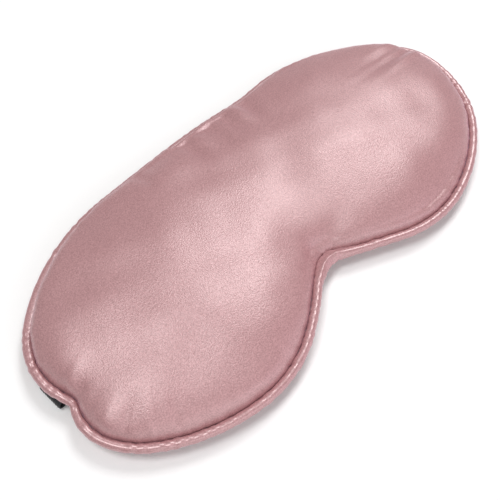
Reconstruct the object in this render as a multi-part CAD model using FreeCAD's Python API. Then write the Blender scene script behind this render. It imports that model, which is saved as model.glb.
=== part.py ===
import FreeCAD, Part
import math
import os

from FreeCAD import Vector

# A padded satin sleep mask, lying face up on a surface.
# +X runs along the mask towards one end, +Y towards the forehead, +Z out of the front face.
# The origin is on the surface, under the middle of the mask. Sizes are in millimetres.

# ---- driving dimensions -------------------------------------------------------------------

# The line that the middle of the piping follows, from the middle of the top edge clockwise.
TOP_STRAIGHT = 36.0         # straight half of the top edge
SHOULDER_RADIUS = 80.0
SHOULDER_TURN = 41.0        # degrees
END_RADIUS = 40.0
END_TURN = 101.0
CHEEK_RADIUS = 72.0
CHEEK_TURN = 28.0
LOBE_RADIUS = 46.0
NOSE_SLOPE = 27.5           # degrees between the side of the nose notch and the X axis
NOSE_RADIUS = 10.0          # at the top of the nose notch

# Piping round the edge
PIPING_RADIUS = 2.0
PIPING_CLOTH = 0.4
PIPING_Z = 6.0              # height of the middle of the piping

# Seam between the panels and the piping
SEAM_GAP = 0.4
THREAD_RADIUS = 0.15

# Pad layers
FRONT_CLOTH = 0.7
BACK_CLOTH = 0.9
LINING = 0.8
EDGE_HEIGHT = 3.0           # all the layers together, pressed into the seam
PAD_HEIGHT = 17.0           # top of the front face
FRONT_ROLL = 30.0           # width of the rounded border of the front face
BACK_ROLL = 12.0            # width of the rounded border of the back
FLAT_DEPTH = 0.2            # depth by which the back is pressed flat on the surface

# Soft channel across the back, where the strap tucks in
CHANNEL_HEIGHT = 4.2
CHANNEL_FLAT = 8.5          # half-width of its roof
CHANNEL_EDGE = 13.5         # half-width where it meets the surface

# Elastic strap
STRAP_WIDTH = 10.0
STRAP_THICKNESS = 0.8
STRAP_LOW_Z = 0.5           # middle of the strand nearest the surface
STRAP_FOLD_X = 102.1        # where the strap starts to fold under each end
STRAP_FOLD_RADIUS = 1.5
STRAP_END_X = 96.0          # end of the strap inside the fold
STRAP_SPLIT_X = -62.0       # where the left span meets the span that runs to the slider
CLEARANCE = 0.05            # between strands, and between a strand and a bar

# Square ring, a loop of round rod
RING_X = 42.0
RING_ROD_RADIUS = 0.9
RING_HALF_LENGTH = 3.2      # to the middle of the rod, along X
RING_HALF_WIDTH = 6.3
RING_CORNER = 1.6

# Slider, a frame with two slots and a bar between them
SLIDER_X = -18.0
SLIDER_LENGTH = 12.0
SLIDER_WIDTH = 14.6
SLIDER_CORNER = 1.8
SLIDER_BASE_Z = 1.0
SLIDER_TOP_Z = 3.0
OUTER_BAR = 1.5
OUTER_BAR_Z = 1.8
CENTRE_BAR_HALF = 0.7
CENTRE_BAR_TOP_Z = 2.0
SLOT_WIDTH = 10.6
SLIDER_ROUND = 0.4

# The strap's weave through the slider, measured along X from the slider's middle
WEAVE_FOOT = 4.0            # where it leaves the level of the outer bars
WEAVE_HEAD = 2.0            # where it reaches its height over the middle bar
WEAVE_END = 8.0             # where the span through the slider ends
WEAVE_FOOT_BEND = 0.6
WEAVE_HEAD_BEND = 0.9
WRAP_BEND = 0.5             # of the strand sewn round the middle bar

# Ramps of the strap beside the ring, measured along X from the ring's middle
RAMP_HIGH = 6.0
RAMP_LOW = 10.0
RAMP_BEND = 2.0
TAIL_END = 18.0             # end of the short tail that is sewn down

# Stitch blocks
TACK_LENGTH = 2.0
TACK_WIDTH = 8.0
TACK_INSET = 2.5            # from the end of the strap to the middle of the block
STITCH_DEPTH = 0.2          # of a block into a strand, above or below the strand's middle

# ---- worked out from them -----------------------------------------------------------------

PANEL_OFFSET = -(PIPING_RADIUS + SEAM_GAP)
EDGE_Z = PIPING_Z - EDGE_HEIGHT / 2
RING_Z = STRAP_LOW_Z + STRAP_THICKNESS / 2 + CLEARANCE + RING_ROD_RADIUS
RING_WRAP = RING_ROD_RADIUS + CLEARANCE + STRAP_THICKNESS / 2
STRAP_HIGH_Z = STRAP_LOW_Z + 2 * RING_WRAP
STRAP_FOLD_Z = STRAP_LOW_Z + 2 * STRAP_FOLD_RADIUS
SECOND_Z = STRAP_LOW_Z + STRAP_THICKNESS + CLEARANCE        # a strand that lies on another
WRAP_TOP_Z = CENTRE_BAR_TOP_Z + CLEARANCE + STRAP_THICKNESS / 2
WRAP_HALF = CENTRE_BAR_HALF + CLEARANCE + STRAP_THICKNESS / 2
HUMP_Z = WRAP_TOP_Z + STRAP_THICKNESS + CLEARANCE

UP = Vector(0, 0, 1)
ORIGIN = Vector(0, 0, 0)

# ---- outline ------------------------------------------------------------------------------


def half_outline(offset):
    """Edges of the right half of the outline, moved outwards by offset."""
    lobe_down = 180.0 - SHOULDER_TURN - END_TURN - CHEEK_TURN
    bends = [
        (SHOULDER_RADIUS, SHOULDER_TURN),
        (END_RADIUS, END_TURN),
        (CHEEK_RADIUS, CHEEK_TURN),
        (LOBE_RADIUS, lobe_down),
        (LOBE_RADIUS, NOSE_SLOPE),
    ]
    # The bends turn clockwise. Their fall, down to the lowest point of the lobe, gives the
    # height of the outline, and their reach gives the length of the straight nose side.
    angle = 0.0
    fall = 0.0
    reach = TOP_STRAIGHT
    for radius, turn in bends:
        start = math.radians(angle)
        angle += turn
        end = math.radians(angle)
        reach += radius * (math.sin(end) - math.sin(start))
        if angle <= 180.0:
            fall += radius * (math.cos(start) - math.cos(end))
    slope = math.radians(NOSE_SLOPE)
    nose_side = (reach - NOSE_RADIUS * math.sin(slope)) / math.cos(slope)

    point = Vector(0, fall / 2 + offset, 0)
    heading = 0.0
    edges = []

    def straight(length):
        nonlocal point
        turned = math.radians(heading)
        end = point + Vector(length * math.cos(turned), -length * math.sin(turned), 0)
        edges.append(Part.LineSegment(point, end).toShape())
        point = end

    def bend(radius, turn):
        """An arc that turns clockwise, or anticlockwise where turn is negative."""
        nonlocal point, heading
        side = math.copysign(1.0, turn)
        size = radius + side * offset
        turned = math.radians(heading)
        to_centre = Vector(-math.sin(turned), -math.cos(turned), 0) * side
        centre = point + to_centre * size
        spin = FreeCAD.Rotation(UP, -turn / 2)
        middle = centre + spin.multVec(point - centre)
        end = centre + spin.multVec(middle - centre)
        edges.append(Part.Arc(point, middle, end).toShape())
        point = end
        heading += turn

    straight(TOP_STRAIGHT)
    for radius, turn in bends:
        bend(radius, turn)
    straight(nose_side)
    bend(NOSE_RADIUS, -NOSE_SLOPE)
    return edges


def outline(offset, height=0.0):
    """The whole outline as a closed wire, moved outwards by offset."""
    right = half_outline(offset)
    left = [edge.mirror(ORIGIN, Vector(1, 0, 0)) for edge in right]
    wire = Part.Wire(Part.__sortEdges__(right + left))
    wire.translate(Vector(0, 0, height))
    return wire


# ---- pad ----------------------------------------------------------------------------------

GRID_X = 4.0                # spacing of the points that shape each layer
GRID_Y = 2.5
GRID_COLUMNS = 28           # on each side of the middle
GRID_ROWS = 22


def roll(distance, width):
    """1 at the edge of the pad, falling smoothly to 0 at width inside it."""
    if distance < 0:
        return 1.0 - 3.0 * distance / width
    return max(0.0, 1.0 - distance / width) ** 3


def channel(y):
    """1 over the strap channel, falling smoothly to 0 beside it."""
    part = (CHANNEL_EDGE - abs(y)) / (CHANNEL_EDGE - CHANNEL_FLAT)
    part = min(1.0, max(0.0, part))
    return part * part * (3.0 - 2.0 * part)


def front_height(distance, y):
    low = EDGE_Z + EDGE_HEIGHT
    return low + (PAD_HEIGHT - low) * (1.0 - roll(distance, FRONT_ROLL))


def back_height(distance, y):
    rise = EDGE_Z + FLAT_DEPTH
    roof = channel(y) * (CHANNEL_HEIGHT + FLAT_DEPTH) / rise
    return rise * (1.0 - (1.0 - roll(distance, BACK_ROLL)) * (1.0 - roof)) - FLAT_DEPTH


def grid_distances():
    """Distance inside the panel edge of each grid point, negative outside it."""
    edge = outline(PANEL_OFFSET)
    face = Part.Face(edge)
    rows = []
    for column in range(-GRID_COLUMNS, GRID_COLUMNS + 1):
        row = []
        for step in range(-GRID_ROWS, GRID_ROWS + 1):
            point = Vector(column * GRID_X, step * GRID_Y, 0)
            distance = Part.Vertex(point).distToShape(edge)[0]
            inside = face.isInside(point, 1e-6, True)
            row.append((point, distance if inside else -distance))
        rows.append(row)
    return rows


def solid_under(grid, height, lift):
    """Everything under the surface height(distance, y) + lift."""
    points = []
    for row in grid:
        points.append([Vector(p.x, p.y, height(d, p.y) + lift) for p, d in row])
    surface = Part.BSplineSurface()
    surface.interpolate(points)
    return surface.toShape().extrude(Vector(0, 0, -3 * PAD_HEIGHT))


def pad_layers():
    """Front cloth, padding, lining and back cloth, each resting on the next."""
    grid = grid_distances()
    block = Part.Face(outline(PANEL_OFFSET)).extrude(Vector(0, 0, 2 * PAD_HEIGHT))
    under_front = solid_under(grid, front_height, 0.0)
    under_front_cloth = solid_under(grid, front_height, -FRONT_CLOTH)
    under_padding = solid_under(grid, back_height, BACK_CLOTH + LINING)
    under_lining = solid_under(grid, back_height, BACK_CLOTH)
    under_back = solid_under(grid, back_height, 0.0)
    return {
        "front_panel": block.common(under_front).cut(under_front_cloth),
        "padding": block.common(under_front_cloth).cut(under_padding),
        "blackout_lining": block.common(under_padding).cut(under_lining),
        "back_panel": block.common(under_lining).cut(under_back),
    }


# ---- piping and seam ----------------------------------------------------------------------


def edge_tube(offset, radius):
    """A solid round bead that follows the outline at the height of the piping."""
    path = outline(offset, PIPING_Z)
    start = path.OrderedVertexes[0].Point
    direction = path.OrderedEdges[0].tangentAt(path.OrderedEdges[0].FirstParameter)
    section = Part.Wire(Part.Circle(start, direction, radius).toShape())
    return Part.Solid(path.makePipe(Part.Face(section)).Shells[0])


def piping_cord():
    return edge_tube(0.0, PIPING_RADIUS - PIPING_CLOTH)


def piping_cover():
    return edge_tube(0.0, PIPING_RADIUS).cut(piping_cord())


def seam_thread():
    return edge_tube(-PIPING_RADIUS - SEAM_GAP / 2, THREAD_RADIUS)


# ---- strap --------------------------------------------------------------------------------


def strip_side(points, bends, offset):
    """Edges of one side of a strip whose middle runs through points, as (x, z) pairs."""
    corners = [Vector(x, 0, z) for x, z in points]
    across = Vector(0, 1, 0)
    edges = []
    start = None
    for index in range(len(corners) - 1):
        along = (corners[index + 1] - corners[index]).normalize()
        side = along.cross(across) * offset
        if start is None:
            start = corners[0] + side
        if index == len(corners) - 2:
            edges.append(Part.LineSegment(start, corners[-1] + side).toShape())
            break
        following = (corners[index + 2] - corners[index + 1]).normalize()
        turn = along.getAngle(following)
        if along.cross(following).dot(across) < 0:
            turn = -turn
        trim = bends[index] * math.tan(abs(turn) / 2)
        entry = corners[index + 1] - along * trim + side
        hub = entry - side + along.cross(across) * math.copysign(bends[index], -turn)
        spin = FreeCAD.Rotation(across, math.degrees(turn) / 2)
        middle = hub + spin.multVec(entry - hub)
        leave = hub + spin.multVec(middle - hub)
        if (entry - start).Length > CLEARANCE / 10:
            edges.append(Part.LineSegment(start, entry).toShape())
        edges.append(Part.Arc(entry, middle, leave).toShape())
        start = leave
    return edges


def strip(points, bends):
    """A strip of elastic webbing along points, with a radius for each of its bends."""
    near = strip_side(points, bends, STRAP_THICKNESS / 2)
    far = strip_side(points, bends, -STRAP_THICKNESS / 2)
    caps = []
    for index, place in ((0, 0), (-1, -1)):
        one = near[index].Vertexes[place].Point
        other = far[index].Vertexes[place].Point
        caps.append(Part.LineSegment(one, other).toShape())
    wire = Part.Wire(Part.__sortEdges__(near + far + caps))
    web = Part.Face(wire).extrude(Vector(0, STRAP_WIDTH, 0))
    web.translate(Vector(0, -STRAP_WIDTH / 2, 0))
    return web


def fold_under(side):
    """Points of the strap from its sewn end round the fold, on the side given by its sign."""
    outer = side * (STRAP_FOLD_X + STRAP_FOLD_RADIUS)
    return [(side * STRAP_END_X, STRAP_FOLD_Z), (outer, STRAP_FOLD_Z), (outer, STRAP_LOW_Z)]


def left_span():
    points = fold_under(-1) + [(STRAP_SPLIT_X, STRAP_LOW_Z)]
    return strip(points, [STRAP_FOLD_RADIUS] * 2)


def slider_span():
    """Under the slider's first bar, over its middle bar and under its second bar."""
    points = [
        (STRAP_SPLIT_X, STRAP_LOW_Z),
        (SLIDER_X - WEAVE_FOOT, STRAP_LOW_Z),
        (SLIDER_X - WEAVE_HEAD, HUMP_Z),
        (SLIDER_X + WEAVE_HEAD, HUMP_Z),
        (SLIDER_X + WEAVE_FOOT, SECOND_Z),
        (SLIDER_X + WEAVE_END, SECOND_Z),
    ]
    return strip(points, [WEAVE_FOOT_BEND, WEAVE_HEAD_BEND, WEAVE_HEAD_BEND, WEAVE_FOOT_BEND])


def ring_span():
    """From the slider to the ring, round it, back, and round the slider's middle bar."""
    wrap_x = RING_X - RING_HALF_LENGTH + RING_WRAP
    points = [
        (SLIDER_X + WEAVE_END, SECOND_Z),
        (RING_X - RAMP_LOW, SECOND_Z),
        (RING_X - RAMP_HIGH, STRAP_HIGH_Z),
        (wrap_x, STRAP_HIGH_Z),
        (wrap_x, STRAP_LOW_Z),
        (SLIDER_X + WRAP_HALF, STRAP_LOW_Z),
        (SLIDER_X + WRAP_HALF, WRAP_TOP_Z),
        (SLIDER_X - WRAP_HALF, WRAP_TOP_Z),
        (SLIDER_X - WRAP_HALF, STRAP_LOW_Z),
        (SLIDER_X + WRAP_BEND, STRAP_LOW_Z),
    ]
    return strip(points, [RAMP_BEND] * 2 + [RING_WRAP] * 2 + [WRAP_BEND] * 4)


def right_span():
    """From the fold at the right end to the ring, round it and back onto itself."""
    wrap_x = RING_X + RING_HALF_LENGTH - RING_WRAP
    points = fold_under(1) + [
        (wrap_x, STRAP_LOW_Z),
        (wrap_x, STRAP_HIGH_Z),
        (RING_X + RAMP_HIGH, STRAP_HIGH_Z),
        (RING_X + RAMP_LOW, SECOND_Z),
        (RING_X + TAIL_END, SECOND_Z),
    ]
    return strip(points, [STRAP_FOLD_RADIUS] * 2 + [RING_WRAP] * 2 + [RAMP_BEND] * 2)


def stitch_block(x, low, high):
    """A dense row of stitches across the strap, from height low to height high."""
    corner = Vector(x - TACK_LENGTH / 2, -TACK_WIDTH / 2, low)
    return Part.makeBox(TACK_LENGTH, TACK_WIDTH, high - low, corner)


# ---- ring and slider ----------------------------------------------------------------------


def rounded_rectangle(half_x, half_y, corner, height):
    """A closed wire of four sides and four quarter circles."""
    edges = []
    for quarter in range(4):
        turn = FreeCAD.Rotation(UP, 90.0 * quarter)
        reach_x, reach_y = (half_x, half_y) if quarter % 2 == 0 else (half_y, half_x)
        centre = turn.multVec(Vector(reach_x - corner, reach_y - corner, 0))
        begin = turn.multVec(Vector(corner, 0, 0))
        middle = FreeCAD.Rotation(UP, 45.0).multVec(begin)
        end = FreeCAD.Rotation(UP, 90.0).multVec(begin)
        edges.append(Part.Arc(centre + begin, centre + middle, centre + end).toShape())
        side = 2 * (reach_x - corner)
        after = centre + end - begin.normalize() * side
        edges.append(Part.LineSegment(centre + end, after).toShape())
    wire = Part.Wire(edges)
    wire.translate(Vector(0, 0, height))
    return wire


def ring():
    path = rounded_rectangle(RING_HALF_LENGTH, RING_HALF_WIDTH, RING_CORNER, RING_Z)
    start = path.OrderedVertexes[0].Point
    first = path.OrderedEdges[0]
    direction = first.tangentAt(first.FirstParameter)
    section = Part.Wire(Part.Circle(start, direction, RING_ROD_RADIUS).toShape())
    rod = Part.Solid(path.makePipe(Part.Face(section)).Shells[0])
    rod.translate(Vector(RING_X, 0, 0))
    return rod


def slider():
    half_x = SLIDER_LENGTH / 2
    half_slot = SLOT_WIDTH / 2
    slot_x = half_x - OUTER_BAR
    thickness = SLIDER_TOP_Z - SLIDER_BASE_Z
    rim = rounded_rectangle(half_x, SLIDER_WIDTH / 2, SLIDER_CORNER, SLIDER_BASE_Z)
    frame = Part.Face(rim).extrude(UP * thickness)
    level = [edge for edge in frame.Edges if edge.BoundBox.ZLength < CLEARANCE]
    frame = frame.makeFillet(SLIDER_ROUND, level)
    window = Part.makeBox(2 * slot_x, SLOT_WIDTH, thickness,
                          Vector(-slot_x, -half_slot, SLIDER_BASE_Z))
    relief = Part.makeBox(SLIDER_LENGTH, SLOT_WIDTH, OUTER_BAR_Z - SLIDER_BASE_Z,
                          Vector(-half_x, -half_slot, SLIDER_BASE_Z))
    bar = Part.makeBox(2 * CENTRE_BAR_HALF, SLOT_WIDTH, CENTRE_BAR_TOP_Z - SLIDER_BASE_Z,
                       Vector(-CENTRE_BAR_HALF, -half_slot, SLIDER_BASE_Z))
    body = frame.cut(window).cut(relief).fuse(bar).removeSplitter()
    body.translate(Vector(SLIDER_X, 0, 0))
    return body


# ---- assembly -----------------------------------------------------------------------------


def build():
    nodes = pad_layers()
    nodes["piping_cover"] = piping_cover()
    nodes["piping_cord"] = piping_cord()
    nodes["seam_thread"] = seam_thread()

    # The rows of stitches go through the layers that they hold.
    tack_x = STRAP_END_X + TACK_INSET
    tack_low = STRAP_FOLD_Z - STITCH_DEPTH
    tack_high = EDGE_Z + BACK_CLOTH / 2
    tack_left = stitch_block(-tack_x, tack_low, tack_high)
    tack_right = stitch_block(tack_x, tack_low, tack_high)
    tail_x = RING_X + (RAMP_LOW + TAIL_END) / 2
    ring_stitch = stitch_block(tail_x, STRAP_LOW_Z - STITCH_DEPTH, SECOND_Z + STITCH_DEPTH)
    wrap_x = SLIDER_X + WRAP_HALF
    slider_stitch = stitch_block(wrap_x, STRAP_LOW_Z - STITCH_DEPTH, STRAP_LOW_Z + STITCH_DEPTH)

    nodes["back_panel"] = nodes["back_panel"].cut(tack_left).cut(tack_right)
    nodes["strap_left_span"] = left_span().cut(tack_left)
    nodes["strap_slider_span"] = slider_span()
    nodes["strap_ring_span"] = ring_span().cut(slider_stitch)
    nodes["strap_right_span"] = right_span().cut(tack_right).cut(ring_stitch)
    nodes["strap_tack_left"] = tack_left
    nodes["strap_tack_right"] = tack_right
    nodes["ring_stitching"] = ring_stitch
    nodes["slider_stitching"] = slider_stitch
    nodes["strap_ring"] = ring()
    nodes["strap_slider"] = slider()
    return nodes


def main():
    os.makedirs("parts", exist_ok=True)
    for name, shape in build().items():
        solid = shape.Solids[0]
        solid.exportStep("parts/" + name + ".step")
        box = solid.optimalBoundingBox()
        size = "%7.2f %7.2f %6.2f from z %5.2f" % (box.XLength, box.YLength, box.ZLength, box.ZMin)
        print("%-18s" % name, "solids", len(shape.Solids), "valid", solid.isValid(), size)


main()
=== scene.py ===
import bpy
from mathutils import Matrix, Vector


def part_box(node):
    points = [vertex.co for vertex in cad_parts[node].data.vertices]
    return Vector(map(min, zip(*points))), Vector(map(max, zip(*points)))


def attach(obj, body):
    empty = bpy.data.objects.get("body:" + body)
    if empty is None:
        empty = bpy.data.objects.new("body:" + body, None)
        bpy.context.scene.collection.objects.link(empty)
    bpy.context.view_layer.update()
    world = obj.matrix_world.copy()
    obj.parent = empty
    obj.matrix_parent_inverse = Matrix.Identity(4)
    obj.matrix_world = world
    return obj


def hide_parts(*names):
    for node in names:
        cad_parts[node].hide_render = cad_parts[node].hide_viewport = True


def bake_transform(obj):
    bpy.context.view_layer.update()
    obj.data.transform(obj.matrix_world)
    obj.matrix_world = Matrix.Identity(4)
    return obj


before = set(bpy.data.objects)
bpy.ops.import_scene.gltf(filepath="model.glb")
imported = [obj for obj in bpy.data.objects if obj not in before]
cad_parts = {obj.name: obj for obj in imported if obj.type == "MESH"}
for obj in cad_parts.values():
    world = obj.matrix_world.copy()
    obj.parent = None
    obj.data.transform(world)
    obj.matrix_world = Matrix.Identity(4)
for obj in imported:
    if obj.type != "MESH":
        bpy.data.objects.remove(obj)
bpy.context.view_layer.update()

import math

import bpy
import numpy as np
from mathutils import Vector
from mathutils.geometry import delaunay_2d_cdt

# A padded satin sleep mask that lies face up. Everything is in metres, in the CAD frame:
# +X along the mask, +Y towards the forehead, +Z out of the front face.

MM = 0.001
RANDOM_SEED = 7

# ---- the line of the piping ---------------------------------------------------------------

TOP_STRAIGHT = 36.0 * MM
BENDS = [                       # radius, clockwise turn in degrees
    (80.0 * MM, 41.0),
    (40.0 * MM, 101.0),
    (72.0 * MM, 28.0),
    (46.0 * MM, 37.5),
]
NOSE_SLOPE = 27.5
NOSE_RADIUS = 10.0 * MM
PIPING_RADIUS = 2.0 * MM
PIPING_Z = sum(corner.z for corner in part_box("piping_cover")) / 2
OUTLINE_STEP = 0.25 * MM
OUTLINE_POINTS = 2000

# Where the sewing pulls the line in, or out with a negative depth: x, y, depth, the reach each
# way along the line, first anticlockwise and then clockwise, and how round the pull's peak is.
TUGS = [
    (-102.0 * MM, -4.0 * MM, 7.0 * MM, 16.0 * MM, 29.0 * MM, 0.35),
    (102.0 * MM, 8.0 * MM, -4.4 * MM, 26.0 * MM, 28.0 * MM, 1.0),
    (38.0 * MM, 50.0 * MM, 3.8 * MM, 26.0 * MM, 24.0 * MM, 1.0),
    (-8.0 * MM, -36.0 * MM, 1.2 * MM, 7.0 * MM, 9.0 * MM, 1.0),
]


def half_line():
    """Points of the right half of the CAD's piping line, from the top's middle."""
    steps = np.arange(0.0, TOP_STRAIGHT, OUTLINE_STEP)
    parts = [np.stack([steps, np.zeros_like(steps)], axis=1)]
    corner = np.array([TOP_STRAIGHT, 0.0])
    turned = 0.0

    def arc(radius, turn):
        nonlocal corner, turned
        side = math.copysign(1.0, turn)
        start = math.radians(turned)
        hub = corner - side * radius * np.array([math.sin(start), math.cos(start)])
        count = int(radius * abs(math.radians(turn)) / OUTLINE_STEP)
        angles = start + math.radians(turn) * np.arange(count) / count
        parts.append(hub + side * radius * np.stack([np.sin(angles), np.cos(angles)], axis=1))
        turned += turn
        end = math.radians(turned)
        corner = hub + side * radius * np.array([math.sin(end), math.cos(end)])

    for radius, turn in BENDS:
        arc(radius, turn)
    slope = math.radians(NOSE_SLOPE)
    length = (corner[0] - NOSE_RADIUS * math.sin(slope)) / math.cos(slope)
    steps = np.arange(0.0, length, OUTLINE_STEP)
    parts.append(corner + np.outer(steps, [-math.cos(slope), math.sin(slope)]))
    corner = corner + length * np.array([-math.cos(slope), math.sin(slope)])
    arc(NOSE_RADIUS, -NOSE_SLOPE)
    return np.concatenate(parts)


def evenly(line, count):
    """count evenly spaced points of a closed line, and its length."""
    ring = np.vstack([line, line[:1]])
    length = np.concatenate([[0.0], np.cumsum(np.linalg.norm(np.diff(ring, axis=0), axis=1))])
    at = np.arange(count) * length[-1] / count
    return np.stack([np.interp(at, length, ring[:, k]) for k in (0, 1)], axis=1), length[-1]


def outward_normals(line):
    along = np.roll(line, -1, axis=0) - np.roll(line, 1, axis=0)
    along /= np.linalg.norm(along, axis=1)[:, None]
    return np.stack([-along[:, 1], along[:, 0]], axis=1)


def tugged(line, length):
    """An evenly spaced line, pulled in where the sewing gathers it."""
    count = len(line)
    pull = np.zeros(count)
    for x, y, depth, before, after, rounding in TUGS:
        nearest = ((line - [x, y]) ** 2).sum(axis=1).argmin()
        past = (np.arange(count) - nearest + count // 2) % count - count // 2
        past = past * length / count
        reach = np.where(past < 0, before, after)
        pull += depth * np.exp(rounding - np.hypot(rounding, 2.0 * past / reach))
    return line - outward_normals(line) * pull[:, None]


def closed_line(count, offset=0.0):
    """count evenly spaced points of the whole line, clockwise, and their outward normals."""
    half = half_line()
    line = np.concatenate([half, half[:0:-1] * [-1.0, 1.0]])
    line[:, 1] -= (line[:, 1].max() + line[:, 1].min()) / 2
    line, length = evenly(line, OUTLINE_POINTS)
    points, length = evenly(tugged(line, length), count)
    normals = outward_normals(points)
    return points + normals * offset, normals, length


def line_length():
    return closed_line(OUTLINE_POINTS)[2]


# ---- meshes -------------------------------------------------------------------------------


def new_object(name, vertices, faces, smooth=True):
    mesh = bpy.data.meshes.new(name)
    mesh.from_pydata([tuple(v) for v in vertices], [], [tuple(f) for f in faces])
    mesh.update()
    if smooth:
        mesh.polygons.foreach_set("use_smooth", [True] * len(mesh.polygons))
    obj = bpy.data.objects.new(name, mesh)
    bpy.context.scene.collection.objects.link(obj)
    return obj


def apply_modifiers(obj):
    shown = obj.evaluated_get(bpy.context.evaluated_depsgraph_get())
    mesh = bpy.data.meshes.new_from_object(shown)
    obj.modifiers.clear()
    old = obj.data
    obj.data = mesh
    bpy.data.meshes.remove(old)


def subdivide(obj, levels=1):
    modifier = obj.modifiers.new("Smooth", "SUBSURF")
    modifier.levels = levels
    modifier.render_levels = levels
    apply_modifiers(obj)


def thicken(obj, thickness):
    """Gives a cloth panel its thickness, inwards from its shown face."""
    modifier = obj.modifiers.new("Thickness", "SOLIDIFY")
    modifier.thickness = thickness
    modifier.offset = -1.0
    apply_modifiers(obj)


def read_points(obj):
    co = np.zeros(len(obj.data.vertices) * 3)
    obj.data.vertices.foreach_get("co", co)
    return co.reshape(-1, 3)


def read_normals(obj):
    out = np.zeros(len(obj.data.vertices) * 3)
    obj.data.vertex_normals.foreach_get("vector", out)
    return out.reshape(-1, 3)


def write_points(obj, points):
    obj.data.vertices.foreach_set("co", points.ravel())
    obj.data.update()


def inside(points, ring):
    """Whether each point is inside the closed ring."""
    start, end = ring, np.roll(ring, -1, axis=0)
    x, y = points[:, None, 0], points[:, None, 1]
    crosses = (start[:, 1] > y) != (end[:, 1] > y)
    rise = np.where(end[:, 1] == start[:, 1], 1.0, end[:, 1] - start[:, 1])
    at = start[:, 0] + (y - start[:, 1]) / rise * (end[:, 0] - start[:, 0])
    return (crosses & (x < at)).sum(axis=1) % 2 == 1


def nearest_on(points, ring):
    """For each point, the index of the nearest point of the ring and how far it is."""
    index, far = [], []
    for block in np.array_split(points[:, :2], max(1, len(points) // 4000)):
        squared = ((block[:, None, :] - ring[None, :, :]) ** 2).sum(axis=2)
        index.append(squared.argmin(axis=1))
        far.append(np.sqrt(squared.min(axis=1)))
    return np.concatenate(index), np.concatenate(far)


def finish_piece(obj, body, material, replaces=()):
    """Gives a piece its material and body, and hides the CAD nodes that it stands for."""
    obj.data.materials.clear()
    obj.data.materials.append(material)
    if body:
        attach(obj, body)
    if replaces:
        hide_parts(*replaces)


# ---- the stuffed pad ----------------------------------------------------------------------

CLOTH_STEP = 1.7 * MM
BORDER_CLEAR = 0.7              # of a step, kept free of inner points beside the border
START_BULGE = 0.4 * MM          # before the filling: height squared over distance from the border
SEAM_POINTS = 4                 # of the seam's line for each point of the cloth's border
SEAM_OFFSET = -1.05 * MM        # of the seam from the piping's line
SEAM_SINK = 1.2 * MM            # of the front's border into the seam
BACK_SINK = 1.6 * MM            # of the back's border, below the piping's middle
NOSE_INSET = 2.0 * MM           # of the panels' corner behind the bunched piping at the nose
NOSE_REACH = 7.0 * MM
SIM_SCALE = 10.0                # the cloth is simulated at ten times its size
SIM_FRAMES = 28
FRONT_RISE = 12.0 * MM          # of the front face above the seam
FULLNESS = 0.53                 # under 1, the filling presses further into the border
OVERHANG = 1.4 * MM             # by which the filled border leans out over the seam
TOP_OVERHANG = 1.6 * MM         # and by which it leans out further along the top edge
OVERHANG_REACH = 2.4 * MM
RELAX_ROUNDS = 3
BACK_FULLNESS = 0.8
BACK_FALL = 1.5                 # how far the free back would sink, in heights of the seam
BACK_PRESS = 0.6 * MM           # below this height the back flattens out over the ground
BACK_LOWEST = BACK_PRESS / math.e ** 2
CHANNEL_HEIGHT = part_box("strap_slider_span")[1].z + 0.5 * MM
CHANNEL_FLAT = 8.5 * MM         # half the width of the strap's channel at its top
CHANNEL_EDGE = 13.5 * MM        # and at its foot
FRONT_CLOTH = 0.35 * MM
BACK_CLOTH = 0.4 * MM
LINING_CLOTH = 0.5 * MM
FRONT_EASE = 3.0 * MM           # of the front panel's cut past the seam, for its crown
LINING_BACK = 0.9 * MM          # of the lining's edge from the seam
LINING_GAP = 0.1 * MM           # between the lining and the back cloth
WADDING_GAP = 0.5 * MM          # between the wadding and the front cloth
WADDING_BACK_GAP = 0.3 * MM     # between the wadding and the lining, with the lining's own gap
WADDING_BACK = 1.2 * MM         # of the wadding's edge from the seam
WADDING_DROP = 0.7 * MM         # and below the piping's middle

# Low hills and hollows of the filling, in mm: x, y, turn in degrees, half length, half width and
# height, below 0 for a hollow.
HILLS = [
    (5.0, 12.0, 98.0, 48.0, 22.0, -2.6),
    (-106.0, 18.0, 90.0, 34.0, 13.0, -2.5),
    (52.0, -48.0, 8.0, 30.0, 13.0, -2.0),
    (-38.0, 16.0, 75.0, 22.0, 10.0, 0.7),
    (-21.0, -4.0, 60.0, 16.0, 8.0, -0.5),
    (-14.0, 37.0, 10.0, 16.0, 8.0, 0.9),
    (31.0, 28.0, 60.0, 16.0, 9.0, -1.0),
    (-88.0, 6.0, 55.0, 15.0, 7.0, 0.8),
    (78.0, -24.0, 35.0, 16.0, 9.0, 0.7),
    (58.0, -8.0, 0.0, 16.0, 8.0, -0.3),
    (-62.0, -24.0, 10.0, 12.0, 8.0, -0.4),
    (62.0, 20.0, 0.0, 20.0, 8.0, -0.4),
]

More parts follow.
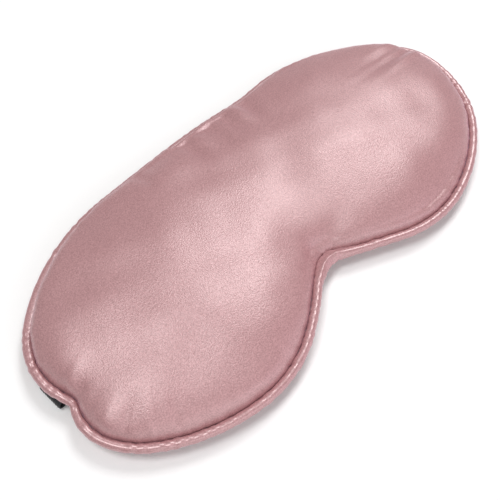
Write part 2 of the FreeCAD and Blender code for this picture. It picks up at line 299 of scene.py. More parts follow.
# Puckers by the seam, in mm: x, y, direction in degrees, length each way, half width and height.
PUCKERS = [
    (31.0, 36.5, -98.0, 15.0, 2.9, -1.0),
    (26.0, 38.0, -92.0, 13.0, 2.4, 0.7),
    (20.5, 37.5, -88.0, 15.0, 2.7, -1.0),
    (13.5, 39.0, -85.0, 11.0, 2.3, -0.6),
    (6.5, 39.0, -85.0, 12.0, 2.6, 0.7),
    (0.5, 38.0, -88.0, 15.0, 2.7, -1.0),
    (-22.5, 40.0, -92.0, 10.0, 2.4, -0.6),
    (-97.0, -5.0, 10.0, 12.0, 1.6, -0.9),
    (-96.0, -1.0, 18.0, 18.0, 2.2, 0.9),
    (-95.0, -11.0, 15.0, 13.0, 1.8, -0.35),
    (-92.0, -17.0, 27.0, 14.0, 2.0, 0.3),
    (-88.5, -22.0, 33.0, 12.0, 1.7, -0.4),
    (-84.0, -27.0, 48.0, 15.0, 2.1, 0.25),
    (-78.0, -33.0, 55.0, 10.0, 1.6, -0.3),
    (101.0, 9.0, 178.0, 44.0, 1.7, -0.9),
    (101.0, 5.5, 181.0, 40.0, 2.0, 0.8),
    (101.0, 13.0, 176.0, 44.0, 1.6, -0.5),
    (101.0, 16.5, 174.0, 30.0, 1.6, 0.5),
    (0.0, -27.0, 16.0, 26.0, 4.0, -0.6),
    (-2.0, -27.0, 84.0, 14.0, 3.0, -0.8),
    (-8.0, -30.0, 130.0, 12.0, 3.0, -0.4),
]

SEAM_HOLD = 3.0 * MM            # within this the seam holds the cloth in place
UNEVEN_WAVES = 14
UNEVEN_SIZE = (14 * MM, 42 * MM)
UNEVEN_SLOPE = 0.010            # height over wavelength

# Fine gathers all along the seam: wavelengths, height, and how far in they fade.
GATHER_WAVES = (3.7 * MM, 4.9 * MM, 6.6 * MM, 8.7 * MM, 12.1 * MM)
GATHER_HEIGHT = 0.012 * MM
GATHER_FADE = 3.0 * MM


def at_nose(points):
    """1 at the middle of the nose notch, falling to 0 beside it."""
    near = np.exp(-(points[:, 0] / NOSE_REACH) ** 2)
    return near * (points[:, 1] < 0)


def ridge(points, x, y, turn, length, width):
    """Where points are in a ridge's own axes, along and across, as shares of its half sizes."""
    c, s = math.cos(math.radians(turn)), math.sin(math.radians(turn))
    dx, dy = points[:, 0] - x * MM, points[:, 1] - y * MM
    return (c * dx + s * dy) / (length * MM), (c * dy - s * dx) / (width * MM)


def seam_line(count, offset=0.0):
    """The line where the panels meet the piping."""
    line, outward, _ = closed_line(count, SEAM_OFFSET + offset)
    return line - outward * NOSE_INSET * at_nose(line)[:, None]


def flat_pad():
    """The two panels before filling: plan points, triangles and the seam's number of points."""
    count = int(line_length() / CLOTH_STEP)
    ring = seam_line(count)
    low, high = ring.min(axis=0), ring.max(axis=0)
    row_gap = CLOTH_STEP * math.sqrt(3) / 2
    rows = []
    for index, y in enumerate(np.arange(low[1], high[1], row_gap)):
        xs = np.arange(low[0] + (index % 2) * CLOTH_STEP / 2, high[0], CLOTH_STEP)
        rows.append(np.stack([xs, np.full_like(xs, y)], axis=1))
    lattice = np.concatenate(rows)
    lattice = lattice[inside(lattice, ring)]
    lattice = lattice[nearest_on(lattice, ring)[1] > BORDER_CLEAR * CLOTH_STEP]
    plan = np.concatenate([ring, lattice])
    border = [(k, (k + 1) % count) for k in range(count)]
    made = delaunay_2d_cdt([Vector(p) for p in plan], border, [], 1, 1e-7)
    if len(made[0]) != len(plan):
        raise RuntimeError("the triangulation added points")
    return plan, [tuple(f) for f in made[2]], count


def inflate(plan, faces, ring_count):
    """Fills the pad by cloth simulation. Returns where the front's and the back's points go."""
    inner = len(plan) - ring_count
    distance = np.zeros(len(plan))
    distance[ring_count:] = nearest_on(plan[ring_count:], plan[:ring_count])[1]
    bulge = np.sqrt(distance * START_BULGE)
    front = np.column_stack([plan, bulge])
    back = np.column_stack([plan[ring_count:], -bulge[ring_count:]])
    vertices = np.concatenate([front, back]) * SIM_SCALE

    def below(index):
        return index if index < ring_count else index + inner

    all_faces = list(faces) + [tuple(below(i) for i in reversed(f)) for f in faces]
    obj = new_object("sim_pad", vertices, all_faces)
    pin = obj.vertex_groups.new(name="pin")
    pin.add(list(range(ring_count)), 1.0, "REPLACE")
    cloth = obj.modifiers.new("Cloth", "CLOTH")
    settings = cloth.settings
    settings.quality = 6
    settings.mass = 0.3
    settings.tension_stiffness = 6.0
    settings.compression_stiffness = 6.0
    settings.shear_stiffness = 4.0
    settings.bending_stiffness = 2.0
    settings.vertex_group_mass = "pin"
    settings.use_pressure = True
    settings.uniform_pressure_force = 9.0
    settings.shrink_min = -0.008
    settings.effector_weights.gravity = 0.0
    cloth.collision_settings.use_collision = False
    cloth.point_cache.frame_start = 1
    cloth.point_cache.frame_end = SIM_FRAMES
    scene = bpy.context.scene
    for number in range(1, SIM_FRAMES + 1):
        scene.frame_set(number)
    shown = obj.evaluated_get(bpy.context.evaluated_depsgraph_get())
    co = np.zeros(len(vertices) * 3)
    shown.data.vertices.foreach_get("co", co)
    co = co.reshape(-1, 3) / SIM_SCALE
    bpy.data.objects.remove(obj)
    scene.frame_set(1)
    return co[:len(plan)], np.concatenate([co[:ring_count], co[len(plan):]])


def lean_out(points, seam, amount, extra_at_top=0.0):
    """Moves points near the seam outwards, most at OVERHANG_REACH inside it, none at the nose."""
    nearest, distance = nearest_on(points, seam)
    normals = outward_normals(seam)
    leans = amount * (1.0 - at_nose(seam)) + extra_at_top * smooth_step(normals[:, 1])
    share = distance / OVERHANG_REACH
    push = leans[nearest] * share * np.exp(1.0 - share)
    moved = points.copy()
    moved[:, :2] += normals[nearest] * push[:, None]
    return moved


def relax(points, faces, fixed, rounds):
    """Evens the points out along their edges, all but the first fixed ones."""
    pairs = np.array([(a, b) for f in faces for a, b in zip(f, f[1:] + f[:1])])
    pairs = np.unique(np.sort(pairs, axis=1), axis=0)
    degree = np.bincount(pairs.ravel(), minlength=len(points))[:, None]
    for _ in range(rounds):
        total = np.zeros_like(points)
        np.add.at(total, pairs[:, 0], points[pairs[:, 1]])
        np.add.at(total, pairs[:, 1], points[pairs[:, 0]])
        middle = (points + total / degree) / 2
        points = np.concatenate([points[:fixed], middle[fixed:]])
    return points


def smooth_step(x):
    x = np.clip(x, 0.0, 1.0)
    return x * x * (3.0 - 2.0 * x)


def channel(y):
    """1 over the strap, 0 beside its channel."""
    return smooth_step((CHANNEL_EDGE - np.abs(y)) / (CHANNEL_EDGE - CHANNEL_FLAT))


def pad_shapes(plan, faces, ring_count):
    """The filled front and back faces, in the CAD frame."""
    front, back = inflate(plan, faces, ring_count)
    top = front[:, 2].max()
    front[:, 2] = FRONT_RISE * np.clip(front[:, 2] / top, 0.0, None) ** FULLNESS
    seam = seam_line(SEAM_POINTS * ring_count)
    edge = nearest_on(front, seam)[1]
    front = lean_out(front, seam, OVERHANG, TOP_OVERHANG)
    front = relax(front, faces, ring_count, RELAX_ROUNDS)
    front[:, 2] += PIPING_Z - SEAM_SINK * np.exp(-edge / SEAM_SINK)
    fall = np.clip(-back[:, 2] / top, 0.0, None) ** BACK_FULLNESS
    back = lean_out(back, seam, OVERHANG / 2)
    free = PIPING_Z * (1.0 - BACK_FALL * fall)
    pressed = BACK_PRESS * np.exp(np.minimum(free / BACK_PRESS - 1.0, 0.0))
    edge = nearest_on(back, seam)[1]
    flat = np.where(free > BACK_PRESS, free, pressed) - BACK_SINK * np.exp(-edge / BACK_SINK)
    flat = np.maximum(flat, BACK_LOWEST)
    back[:, 2] = np.maximum(channel(back[:, 1]) * CHANNEL_HEIGHT, flat)
    return front, back


def fabric_relief(points, normals, ring):
    """Hills of the filling, and puckers and gathers along the seam, as moved points."""
    place, away = nearest_on(points, ring)
    lift = np.zeros(len(points))
    for *place_and_size, height in HILLS:
        u, v = ridge(points, *place_and_size)
        lift += height * MM * np.exp(-u * u - v * v)
    for *place_and_size, height in PUCKERS:
        u, v = ridge(points, *place_and_size)
        fade = smooth_step(1.0 - np.abs(u)) ** 1.5
        lift += height * MM * fade * np.exp(-v * v)
    lift += undulation(points)
    lift *= smooth_step(away / SEAM_HOLD)
    lift += gathers(len(ring))[place] * np.exp(-away / GATHER_FADE)
    return points + normals * lift[:, None]


def undulation(points):
    """Soft unevenness of the filling, the same over the whole face."""
    rng = np.random.default_rng(RANDOM_SEED + 1)
    height = np.zeros(len(points))
    for _ in range(UNEVEN_WAVES):
        wave = rng.uniform(*UNEVEN_SIZE)
        turn, phase = rng.uniform(0, 2 * math.pi, 2)
        along = points[:, 0] * math.cos(turn) + points[:, 1] * math.sin(turn)
        height += wave * np.sin(2 * math.pi * along / wave + phase)
    return UNEVEN_SLOPE * height / math.sqrt(UNEVEN_WAVES)


def gathers(count):
    """The height of the fine gathers at count places along the seam."""
    rng = np.random.default_rng(RANDOM_SEED)
    length = line_length()
    share = np.arange(count) / count
    height = np.zeros(count)
    for wave in GATHER_WAVES:
        phase, slow = rng.uniform(0, 2 * math.pi, 2)
        swell = np.sin(2 * math.pi * int(rng.integers(3, 9)) * share + slow)
        height += (1.0 + swell) * np.sin(2 * math.pi * round(length / wave) * share + phase)
    return GATHER_HEIGHT * height


def inset_shape(points, faces, depth):
    """Points moved in from their surface by depth."""
    obj = new_object("inset", points, faces)
    moved = points - read_normals(obj) * depth
    bpy.data.objects.remove(obj)
    return moved


def declare_panel(ease):
    """Works out the seam's line moved out by ease, where a cloth panel was cut flat; the line is
    not used.
    """
    cut = seam_line(400, ease)


def make_pad():
    plan, faces, ring_count = flat_pad()
    front, back = pad_shapes(plan, faces, ring_count)
    ring = seam_line(SEAM_POINTS * ring_count)
    under = [tuple(reversed(f)) for f in faces]

    front_cloth = new_object("front_cloth", front, faces)
    subdivide(front_cloth, 2)
    relief = fabric_relief(read_points(front_cloth), read_normals(front_cloth), ring)
    write_points(front_cloth, relief)
    thicken(front_cloth, FRONT_CLOTH)
    finish_piece(front_cloth, "pad", satin("front_satin"), ["front_panel"])
    declare_panel(FRONT_EASE)

    back_cloth = new_object("back_cloth", back, under)
    subdivide(back_cloth)
    thicken(back_cloth, BACK_CLOTH)
    finish_piece(back_cloth, "pad", satin("back_satin"), ["back_panel"])
    declare_panel(0.0)

    inset = inset_shape(back, under, BACK_CLOTH + LINING_GAP)
    edge = seam_line(ring_count, -LINING_BACK)
    inset[:ring_count] = np.column_stack([edge, np.full(ring_count, PIPING_Z - BACK_SINK)])
    lining = new_object("lining_cloth", inset, under)
    thicken(lining, LINING_CLOTH)
    finish_piece(lining, "pad", felt("lining_felt"), ["blackout_lining"])
    declare_panel(-LINING_BACK)

    make_wadding(front, back, faces, ring_count)


def make_wadding(front, back, faces, ring_count):
    """The filling, a closed body between the front cloth and the lining."""
    under = [tuple(reversed(f)) for f in faces]
    inner_front = new_object("inner_front", front, faces)
    ring = seam_line(SEAM_POINTS * ring_count)
    relief = fabric_relief(front, read_normals(inner_front), ring)
    bpy.data.objects.remove(inner_front)
    top = inset_shape(relief, faces, FRONT_CLOTH + WADDING_GAP)
    bottom = inset_shape(back, under, BACK_CLOTH + LINING_CLOTH + WADDING_BACK_GAP)
    edge = seam_line(ring_count, -WADDING_BACK)
    top[:ring_count] = np.column_stack([edge, np.full(ring_count, PIPING_Z - WADDING_DROP)])
    inner = len(front) - ring_count

    def below(index):
        return index if index < ring_count else index + inner

    points = np.concatenate([top, bottom[ring_count:]])
    body = list(faces) + [tuple(below(i) for i in reversed(f)) for f in faces]
    wadding = new_object("wadding", points, body)
    finish_piece(wadding, "pad", fibre("wadding_fibre"), ["padding"])


# ---- piping -------------------------------------------------------------------------------

PIPING_STEPS = 1300
PIPING_SIDES = 24
PIPING_OUT = 0.45 * MM          # of the piping's middle beyond the CAD's line
TOP_OUT = 0.7 * MM              # and how much further out it is along the top edge
PIPING_DROOP = 2.2 * MM         # of the piping below the CAD's height along the top edge
TUBE_RADIUS = PIPING_RADIUS - PIPING_OUT - 0.1 * MM
SEAM_TUCK = 0.2                 # by which share the tube reaches further inwards, into the seam
TOP_TUCK = 0.6                  # and the share added to that along the top edge
NOSE_WIDEN = 0.65               # extra width of the bunched piping at the nose
NOSE_HEIGHTEN = 0.3             # its extra height
NOSE_SHIFT = 1.0 * MM           # and how far in its middle lies
NOSE_CREASE = 0.7               # how sharply its crest is creased
KINK_PINCH = 0.15               # how much thinner the piping is over the left strap end
KINK_REACH = 5.0 * MM
WRINKLES = (2.9 * MM, 3.9 * MM, 5.3 * MM, 8.1 * MM)
WRINKLE_HEIGHT = 0.035 * MM
WRINKLE_SLANT = 2.5             # how far the wrinkles wind round the tube
CORD_STRAND = 0.5 * MM
CORD_PITCH = 6.0 * MM
STITCH_LENGTH = 2.0 * MM
STITCH_PITCH = 2.8 * MM
STITCH_STEPS = 8                # points of the seam's line for each stitch
STITCH_OUT = 0.1 * MM           # of the stitches from the seam's line
STITCH_DROP = 0.4 * MM          # and below the piping's middle
STITCH_BOW = 0.25 * MM
THREAD_RADIUS = 0.16 * MM
ROSE = (0.42, 0.2, 0.22)        # the thread's colour on the pad
BLACK = (0.02, 0.02, 0.02)      # and on the strap


def rings_to_faces(count, sides, closed):
    """Quads between count rings of sides points each."""
    faces = []
    for i in range(count if closed else count - 1):
        j = (i + 1) % count
        for a in range(sides):
            b = (a + 1) % sides
            faces.append((i * sides + a, j * sides + a, j * sides + b, i * sides + b))
    return faces


def piping_line(count):
    """The piping's centre line with its droop, the outward normals, and its length."""
    centres, outward, length = closed_line(count, PIPING_OUT)
    at_top = smooth_step(outward[:, 1])
    centres += outward * TOP_OUT * at_top[:, None]
    return np.column_stack([centres, PIPING_Z - PIPING_DROOP * at_top]), outward, length


def make_piping():
    line, outward, length = piping_line(PIPING_STEPS)
    share = np.arange(PIPING_STEPS)[:, None] / PIPING_STEPS
    angle = 2 * math.pi * np.arange(PIPING_SIDES)[None, :] / PIPING_SIDES
    rng = np.random.default_rng(RANDOM_SEED)
    wrinkles = np.zeros((PIPING_STEPS, PIPING_SIDES))
    for wave in WRINKLES:
        turns = round(length / wave)
        phase, slow = rng.uniform(0, 2 * math.pi, 2)
        swell = 1.0 + np.sin(2 * math.pi * int(rng.integers(4, 12)) * share + slow)
        slant = WRINKLE_SLANT * np.sin(angle)
        wrinkles += swell * np.sin(2 * math.pi * turns * share + slant + phase)
    size = TUBE_RADIUS + WRINKLE_HEIGHT * wrinkles
    kink_y = TUGS[0][1]
    kink = np.exp(-((line[:, 1] - kink_y) / KINK_REACH) ** 2) * (line[:, 0] < 0)
    size *= 1.0 - KINK_PINCH * kink[:, None]
    nose = at_nose(line)[:, None]
    crease = 1.0 + NOSE_CREASE * nose * (np.sin(angle) > 0)
    out = np.sign(np.cos(angle)) * np.abs(np.cos(angle)) ** crease
    tuck = SEAM_TUCK + TOP_TUCK * smooth_step(outward[:, 1])[:, None]
    out = out * (1.0 + tuck * (np.cos(angle) < 0))
    up = np.sign(np.sin(angle)) * np.abs(np.sin(angle)) ** crease
    out = size * out * (1.0 + NOSE_WIDEN * nose) - NOSE_SHIFT * nose
    up = size * up * (1.0 + NOSE_HEIGHTEN * nose)
    points = np.repeat(line[:, None, :], PIPING_SIDES, axis=1)
    points[:, :, :2] += outward[:, None, :] * out[:, :, None]
    points[:, :, 2] += up
    faces = rings_to_faces(PIPING_STEPS, PIPING_SIDES, True)
    cover = new_object("piping_tube", points.reshape(-1, 3), faces)
    finish_piece(cover, "pad", satin("piping_satin", 0.34, 0.03 * MM), ["piping_cover"])


def make_cord():
    """The cotton cord in the piping, two strands laid round each other."""
    steps, sides = 900, 8
    line, outward, length = piping_line(steps)
    turns = round(length / CORD_PITCH)
    angle = 2 * math.pi * np.arange(sides) / sides
    points, faces = [], []
    for strand in range(2):
        lay = 2 * math.pi * turns * np.arange(steps) / steps + strand * math.pi
        x = CORD_STRAND * (np.cos(lay)[:, None] + np.cos(angle)[None, :])
        z = CORD_STRAND * (np.sin(lay)[:, None] + np.sin(angle)[None, :])
        tube = np.repeat(line[:, None, :], sides, axis=1)
        x -= NOSE_SHIFT * at_nose(line)[:, None]
        tube[:, :, :2] += outward[:, None, :] * x[:, :, None]
        tube[:, :, 2] += z
        start = strand * steps * sides
        points.append(tube.reshape(-1, 3))
        faces += [tuple(i + start for i in f) for f in rings_to_faces(steps, sides, True)]
    cord = new_object("cord_strands", np.concatenate(points), faces)
    finish_piece(cord, "pad", cotton("cord_cotton"), ["piping_cord"])


def thread_piece(name, runs, radius, sides=6):
    """One mesh of thread tubes, each along the points of one run."""
    angle = 2 * math.pi * np.arange(sides) / sides
    points, faces, start = [], [], 0
    for run in runs:
        run = np.asarray(run)
        along = np.gradient(run, axis=0)
        along /= np.linalg.norm(along, axis=1)[:, None]
        across = np.cross(along, [0.0, 0.0, 1.0])
        across /= np.linalg.norm(across, axis=1)[:, None] + 1e-12
        up = np.cross(across, along)
        taper = np.full(len(run), radius)
        taper[[0, -1]] *= 0.4
        ring = across[:, None, :] * np.cos(angle)[None, :, None]
        ring = ring + up[:, None, :] * np.sin(angle)[None, :, None]
        tube = run[:, None, :] + ring * taper[:, None, None]
        points.append(tube.reshape(-1, 3))
        made = rings_to_faces(len(run), sides, False)
        made.append(tuple(range(sides)))
        made.append(tuple(reversed(range((len(run) - 1) * sides, len(run) * sides))))
        faces += [tuple(i + start for i in f) for f in made]
        start += len(run) * sides
    return new_object(name, np.concatenate(points), faces)


def make_seam_stitches():
    stitches = round(line_length() / STITCH_PITCH)
    line = seam_line(stitches * STITCH_STEPS, STITCH_OUT)
    droop = PIPING_DROOP / 2 * smooth_step(outward_normals(line)[:, 1])
    height = PIPING_Z - STITCH_DROP - droop
    used = round(STITCH_STEPS * STITCH_LENGTH / STITCH_PITCH)
    bow = STITCH_BOW * np.sin(math.pi * np.arange(used) / (used - 1))
    runs = []
    for k in range(stitches):
        piece = slice(k * STITCH_STEPS, k * STITCH_STEPS + used)
        runs.append(np.column_stack([line[piece], height[piece] + bow]))
    stitched = thread_piece("seam_stitches", runs, THREAD_RADIUS)
    finish_piece(stitched, "pad", thread("rose_thread", ROSE), ["seam_thread"])


# ---- strap --------------------------------------------------------------------------------

STRAP_WIDTH = 10.0 * MM
STRAP_THICKNESS = 0.8 * MM
STRAP_CORDS = 9                 # rubber cords side by side in the elastic
STRAP_RIB = 0.12 * MM           # depth of the grooves between the cords
STRAP_STEP = 0.6 * MM
BEND = 1.4 * MM                 # how far from a corner the strap starts to turn
FOLD_IN = 4.8 * MM              # the visual fold follows the ends that the strap pulls in

# Heights of the strap's middle: on the ground, folded into the pad, as a second layer, over the
# ring, wrapped over the slider's bar, and over the slider.
LOW = 0.5 * MM
FOLD_Z = 3.5 * MM
SECOND = 1.35 * MM
OVER_RING = 3.2 * MM
WRAP_TOP = 2.45 * MM
HUMP = 3.3 * MM

LEFT_DRIFT = 5.0 * MM           # of the strap's left end towards the forehead
DRIFT_START = -50.0 * MM
DRIFT_LENGTH = 42.0 * MM
FOLD_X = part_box("strap_right_span")[1].x - STRAP_THICKNESS / 2 - FOLD_IN
END_X = 96.0 * MM - FOLD_IN
SPLIT_X = -62.0 * MM
SLIDER_X = -18.0 * MM
RING_X = 42.0 * MM
RING_WRAP = 1.85 * MM           # from the ring's middle to the strap wrapped round its bar
WRAP_HALF = 1.15 * MM           # from the slider's middle to the strap wrapped round its bar
TACK_SINK = 0.07 * MM           # of the bar tacks' thread into the elastic
TACK_IN = 2.5 * MM              # of the pad's tacks from the strap's cut ends
TACK_HALF_WIDTH = 0.9 * MM
TACK_HALF_LENGTH = 4.0 * MM
TACK_PASSES = 16


def rounded_route(corners, bend):
    """Evenly spaced points along the corners' runs, each corner rounded."""
    corners = [np.array(c) for c in corners]
    dense = [corners[0]]
    for before, corner, after in zip(corners, corners[1:], corners[2:]):
        back, on = before - corner, after - corner
        reach = min(bend, 0.48 * np.linalg.norm(back), 0.48 * np.linalg.norm(on))
        start = corner + back / np.linalg.norm(back) * reach
        end = corner + on / np.linalg.norm(on) * reach
        for t in np.linspace(0.0, 1.0, 9):
            dense.append((1 - t) ** 2 * start + 2 * t * (1 - t) * corner + t * t * end)
    dense.append(corners[-1])
    dense = np.array(dense)
    gaps = np.linalg.norm(np.diff(dense, axis=0), axis=1)
    length = np.concatenate([[0.0], np.cumsum(gaps)])
    at = np.linspace(0.0, length[-1], int(length[-1] / STRAP_STEP) + 2)
    return np.stack([np.interp(at, length, dense[:, k]) for k in (0, 1)], axis=1)


def strap_section():
    """Across (y) and out (n) of the strap's section, a row of rounded cords on both faces."""
    per_cord = 4
    count = STRAP_CORDS * per_cord
    y = np.linspace(-0.5, 0.5, count + 1) * (STRAP_WIDTH - STRAP_THICKNESS)
    crown = np.abs(np.sin(math.pi * np.arange(count + 1) / per_cord))
    out = STRAP_THICKNESS / 2 - STRAP_RIB * (1.0 - crown)
    top = np.stack([y, out], axis=1)
    bottom = np.stack([y[::-1], -out[::-1]], axis=1)
    side = np.array([[STRAP_WIDTH / 2 - 0.1 * MM, 0.2 * MM], [STRAP_WIDTH / 2, 0.0],
                     [STRAP_WIDTH / 2 - 0.1 * MM, -0.2 * MM]])
    return np.concatenate([top, side, bottom, side[::-1] * [-1.0, 1.0]])


def end_drift(x):
    """How far the strap lies towards the forehead at x."""
    return LEFT_DRIFT * smooth_step((DRIFT_START - x) / DRIFT_LENGTH)


def strap_piece(name, corners, node):
    route = rounded_route(corners, BEND)
    along = np.gradient(route, axis=0)
    along /= np.linalg.norm(along, axis=1)[:, None]
    out = np.stack([-along[:, 1], along[:, 0]], axis=1)
    section = strap_section()
    sides = len(section)
    points = np.zeros((len(route), sides, 3))
    points[:, :, 1] = section[None, :, 0] + end_drift(route[:, 0])[:, None]
    points[:, :, 0] = route[:, None, 0] + out[:, None, 0] * section[None, :, 1]
    points[:, :, 2] = route[:, None, 1] + out[:, None, 1] * section[None, :, 1]
    faces = rings_to_faces(len(route), sides, False)
    faces.append(tuple(range(sides)))
    faces.append(tuple(reversed(range((len(route) - 1) * sides, len(route) * sides))))
    strap = new_object(name, points.reshape(-1, 3), faces)
    finish_piece(strap, None, elastic(name + "_look"), [node])
    return strap


def end_fold(side):
    """The corners of the strap's end, from its cut end to where it runs under the pad."""
    outer = side * FOLD_X
    return [(side * END_X, FOLD_Z), (outer, FOLD_Z), (outer, LOW)]


def make_strap():
    left = strap_piece("strap_left_web", end_fold(-1) + [(SPLIT_X, LOW)], "strap_left_span")
    slider_route = [
        (SPLIT_X, LOW),
        (SLIDER_X - 4 * MM, LOW),
        (SLIDER_X - 2 * MM, HUMP),
        (SLIDER_X + 2 * MM, HUMP),
        (SLIDER_X + 4 * MM, SECOND),
        (SLIDER_X + 8 * MM, SECOND),
    ]
    slider = strap_piece("strap_slider_web", slider_route, "strap_slider_span")
    ring_route = [
        (SLIDER_X + 8 * MM, SECOND),
        (RING_X - 10 * MM, SECOND),
        (RING_X - 6 * MM, OVER_RING),
        (RING_X - RING_WRAP, OVER_RING),
        (RING_X - RING_WRAP, LOW),
        (SLIDER_X + WRAP_HALF, LOW),
        (SLIDER_X + WRAP_HALF, WRAP_TOP),
        (SLIDER_X - WRAP_HALF, WRAP_TOP),
        (SLIDER_X - WRAP_HALF, LOW),
        (SLIDER_X + 0.5 * MM, LOW),
    ]
    ring = strap_piece("strap_ring_web", ring_route, "strap_ring_span")
    right_route = end_fold(1) + [
        (RING_X + RING_WRAP, LOW),
        (RING_X + RING_WRAP, OVER_RING),
        (RING_X + 6 * MM, OVER_RING),
        (RING_X + 10 * MM, SECOND),
        (RING_X + 18 * MM, SECOND),
    ]
    right = strap_piece("strap_right_web", right_route, "strap_right_span")
    for strap, side in ((left, -1), (right, 1)):
        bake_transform(strap)
    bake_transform(slider)
    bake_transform(ring)


def zigzag(x, low, high):
    """A bar tack: thread that goes to and fro across the strap on both faces."""
    runs = []
    for z in (low, high):
        steps = np.arange(TACK_PASSES * 4 + 1)
        swing = 2.0 * np.abs((steps / 4.0 + 0.5) % 2.0 - 1.0) - 1.0
        y = (2.0 * steps / steps[-1] - 1.0) * TACK_HALF_LENGTH + end_drift(x)
        runs.append(np.column_stack([x + swing * TACK_HALF_WIDTH, y, np.full(len(steps), z)]))
    return runs


def make_tacks():
    half = STRAP_THICKNESS / 2 - TACK_SINK
    tacks = [
        ("tack_left", -END_X - TACK_IN, FOLD_Z, FOLD_Z, "pad", "strap_tack_left"),
        ("tack_right", END_X + TACK_IN, FOLD_Z, FOLD_Z, "pad", "strap_tack_right"),
        ("tack_ring", RING_X + 14 * MM, LOW, SECOND, "strap_back", "ring_stitching"),
        ("tack_slider", SLIDER_X + WRAP_HALF, LOW, LOW, "slider", "slider_stitching"),
    ]
    for name, x, low, high, body, node in tacks:
        tack = thread_piece(name, zigzag(x, low - half, high + half), THREAD_RADIUS)
        colour, slot = (ROSE, "thread") if body == "pad" else (BLACK, "black_thread")
        finish_piece(tack, body, thread(name + "_look", colour), [node])


# ---- materials ----------------------------------------------------------------------------

SATIN_COLOUR = (0.53, 0.275, 0.285)
SATIN_DARK = (0.37, 0.18, 0.185)


def new_material(name):
    material = bpy.data.materials.new(name)
    material.use_nodes = True
    return material, material.node_tree, material.node_tree.nodes["Principled BSDF"]


def noise(tree, size, stretch=(1.0, 1.0, 1.0), detail=2.0):
    """Noise whose spots are about size across, stretched along the axes."""
    place = tree.nodes.new("ShaderNodeTexCoord")
    mapping = tree.nodes.new("ShaderNodeMapping")
    mapping.inputs["Scale"].default_value = [1.0 / (size * k) for k in stretch]
    texture = tree.nodes.new("ShaderNodeTexNoise")
    texture.inputs["Scale"].default_value = 1.0
    texture.inputs["Detail"].default_value = detail
    tree.links.new(place.outputs["Object"], mapping.inputs["Vector"])
    tree.links.new(mapping.outputs["Vector"], texture.inputs["Vector"])
    return texture.outputs["Fac"]


def ramp(tree, value, low, high, first, second):
    """Colours from first to second as value goes from low to high."""
    node = tree.nodes.new("ShaderNodeValToRGB")
    node.color_ramp.elements[0].position = low
    node.color_ramp.elements[1].position = high
    node.color_ramp.elements[0].color = (*first, 1.0)
    node.color_ramp.elements[1].color = (*second, 1.0)
    tree.links.new(value, node.inputs["Fac"])
    return node.outputs["Color"]


def bump(tree, shader, layers):
    """Adds bumps of (value, height, strength) to the shader, one on another."""
    before = None
    for value, height, strength in layers:
        node = tree.nodes.new("ShaderNodeBump")
        node.inputs["Distance"].default_value = height
        node.inputs["Strength"].default_value = strength
        tree.links.new(value, node.inputs["Height"])
        if before is not None:
            tree.links.new(before, node.inputs["Normal"])
        before = node.outputs["Normal"]
    tree.links.new(before, shader.inputs["Normal"])


def satin(name, roughness=0.40, grain_height=0.13 * MM):
    """Dusty pink satin: a fine sparkling grain with long floats, and a purplish sheen."""
    material, tree, shader = new_material(name)
    grain = noise(tree, 0.4 * MM, (1.0, 1.3, 1.0), 2.0)
    colour = ramp(tree, grain, 0.35, 0.65, SATIN_DARK, SATIN_COLOUR)
    tree.links.new(colour, shader.inputs["Base Color"])
    shader.inputs["Metallic"].default_value = 0.1
    shader.inputs["Roughness"].default_value = roughness
    shader.inputs["Specular IOR Level"].default_value = 1.0
    shader.inputs["IOR"].default_value = 1.65
    shader.inputs["Anisotropic"].default_value = 0.3
    shader.inputs["Sheen Weight"].default_value = 0.3
    shader.inputs["Sheen Roughness"].default_value = 0.3
    shader.inputs["Sheen Tint"].default_value = (1.0, 0.6, 0.9, 1.0)
    floats = noise(tree, 0.3 * MM, (1.0, 2.5, 1.0), 2.0)
    bump(tree, shader, [(grain, grain_height, 0.8), (floats, 0.6 * grain_height, 0.6)])
    return material


def cloth_like(name, dark, light, size, roughness, height, stretch=(1.0, 1.0, 1.0)):
    material, tree, shader = new_material(name)
    shade = noise(tree, size, stretch, 3.0)
    tree.links.new(ramp(tree, shade, 0.3, 0.7, dark, light), shader.inputs["Base Color"])
    shader.inputs["Roughness"].default_value = roughness
    shader.inputs["Sheen Weight"].default_value = 0.15
    bump(tree, shader, [(shade, height, 0.6)])
    return material


def felt(name):
    return cloth_like(name, (0.012, 0.012, 0.013), (0.035, 0.035, 0.037), 0.5 * MM, 0.95,
                      0.1 * MM)


def fibre(name):
    return cloth_like(name, (0.62, 0.61, 0.58), (0.85, 0.84, 0.81), 1.2 * MM, 0.95,
                      0.4 * MM, (1.0, 3.0, 1.0))


def cotton(name):
    return cloth_like(name, (0.55, 0.52, 0.45), (0.8, 0.77, 0.7), 0.3 * MM, 0.9, 0.05 * MM)


def thread(name, colour):
    dark = tuple(0.7 * c for c in colour)
    return cloth_like(name, dark, colour, 0.15 * MM, 0.55, 0.03 * MM)


def elastic(name):
    return cloth_like(name, (0.006, 0.006, 0.007), (0.022, 0.022, 0.024), 0.25 * MM, 0.7,
                      0.08 * MM, (0.6, 1.6, 1.0))


def moulded_plastic(name):
    """Black plastic with a slightly uneven gloss."""
    material, tree, shader = new_material(name)
    patches = noise(tree, 2.5 * MM)
    colour = ramp(tree, patches, 0.3, 0.7, (0.010, 0.010, 0.011), (0.018, 0.018, 0.020))
    tree.links.new(colour, shader.inputs["Base Color"])
    gloss = tree.nodes.new("ShaderNodeMapRange")
    gloss.inputs["To Min"].default_value = 0.28
    gloss.inputs["To Max"].default_value = 0.42
    tree.links.new(patches, gloss.inputs["Value"])
    tree.links.new(gloss.outputs["Result"], shader.inputs["Roughness"])
    orange_peel = noise(tree, 0.4 * MM)
    bump(tree, shader, [(orange_peel, 0.01 * MM, 0.3)])
    return material


# ---- studio -------------------------------------------------------------------------------

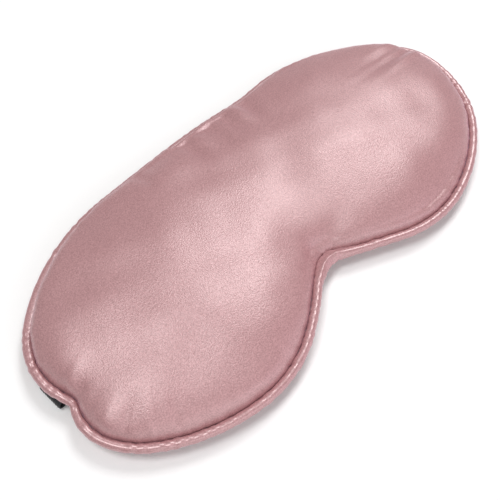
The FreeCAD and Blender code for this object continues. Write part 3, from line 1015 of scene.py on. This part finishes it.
CAMERA_AZIMUTH = math.radians(-47.7)
CAMERA_ELEVATION = math.radians(58.4)
CAMERA_DISTANCE = 250.5 * MM
CAMERA_TARGET = Vector((-15.8 * MM, -6.7 * MM, 6.0 * MM))
CAMERA_LENS = 50.4
FLOOR_HALF = 3.0
FLOOR_COLOUR = (0.93, 0.93, 0.925, 1.0)
WORLD_STRENGTH = 0.27

# Soft lights that face the middle: name, place, size, power in watts and colour.
LIGHTS = [
    ("key", (0.55, 0.20, 0.80), 0.4, 4.3, (1.0, 1.0, 1.0)),
    ("top", (-0.25, 0.15, 0.95), 0.4, 3.8, (1.0, 1.0, 1.0)),
    ("near", (-0.40, -0.80, 0.50), 1.2, 4.0, (1.0, 1.0, 1.0)),
    ("rim", (0.38, -0.89, 0.30), 1.0, 2.2, (1.0, 0.85, 0.97)),
]


def make_camera():
    data = bpy.data.cameras.new("camera")
    data.lens = CAMERA_LENS
    data.sensor_width = 36.0
    data.clip_start = 0.01
    camera = bpy.data.objects.new("camera", data)
    bpy.context.scene.collection.objects.link(camera)
    level = math.cos(CAMERA_ELEVATION)
    back = Vector((math.sin(CAMERA_AZIMUTH) * level, -math.cos(CAMERA_AZIMUTH) * level,
                   math.sin(CAMERA_ELEVATION)))
    camera.location = CAMERA_TARGET + back * CAMERA_DISTANCE
    camera.rotation_mode = "QUATERNION"
    camera.rotation_quaternion = (-back).to_track_quat("-Z", "Y")
    bpy.context.scene.camera = camera


def area_light(name, place, size, power, colour):
    data = bpy.data.lights.new(name, "AREA")
    data.shape = "DISK"
    data.size = size
    data.energy = power
    data.color = colour
    light = bpy.data.objects.new(name, data)
    bpy.context.scene.collection.objects.link(light)
    light.location = place
    light.rotation_mode = "QUATERNION"
    light.rotation_quaternion = Vector(place).to_track_quat("Z", "Y")


def make_studio():
    """A pale floor that goes down with the strap's back, so a pulled strap is seen."""
    half = FLOOR_HALF
    corners = [(-half, -half, 0), (half, -half, 0), (half, half, 0), (-half, half, 0)]
    floor = new_object("floor", corners, [(0, 1, 2, 3)], smooth=False)
    material, _, shader = new_material("pale_floor")
    shader.inputs["Base Color"].default_value = FLOOR_COLOUR
    shader.inputs["Roughness"].default_value = 0.9
    floor.data.materials.append(material)
    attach(floor, "strap_back")
    world = bpy.data.worlds.new("studio")
    world.use_nodes = True
    background = world.node_tree.nodes["Background"]
    background.inputs["Color"].default_value = (1.0, 1.0, 1.0, 1.0)
    background.inputs["Strength"].default_value = WORLD_STRENGTH
    bpy.context.scene.world = world
    for light in LIGHTS:
        area_light(*light)
    bpy.context.scene.view_settings.view_transform = "Standard"


# ---- assembly -----------------------------------------------------------------------------

make_camera()
make_studio()
make_pad()
make_piping()
make_cord()
make_seam_stitches()
make_strap()
make_tacks()
for node in ("strap_ring", "strap_slider"):
    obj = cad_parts[node]
    obj.data.materials.clear()
    obj.data.materials.append(moulded_plastic(node + "_plastic"))
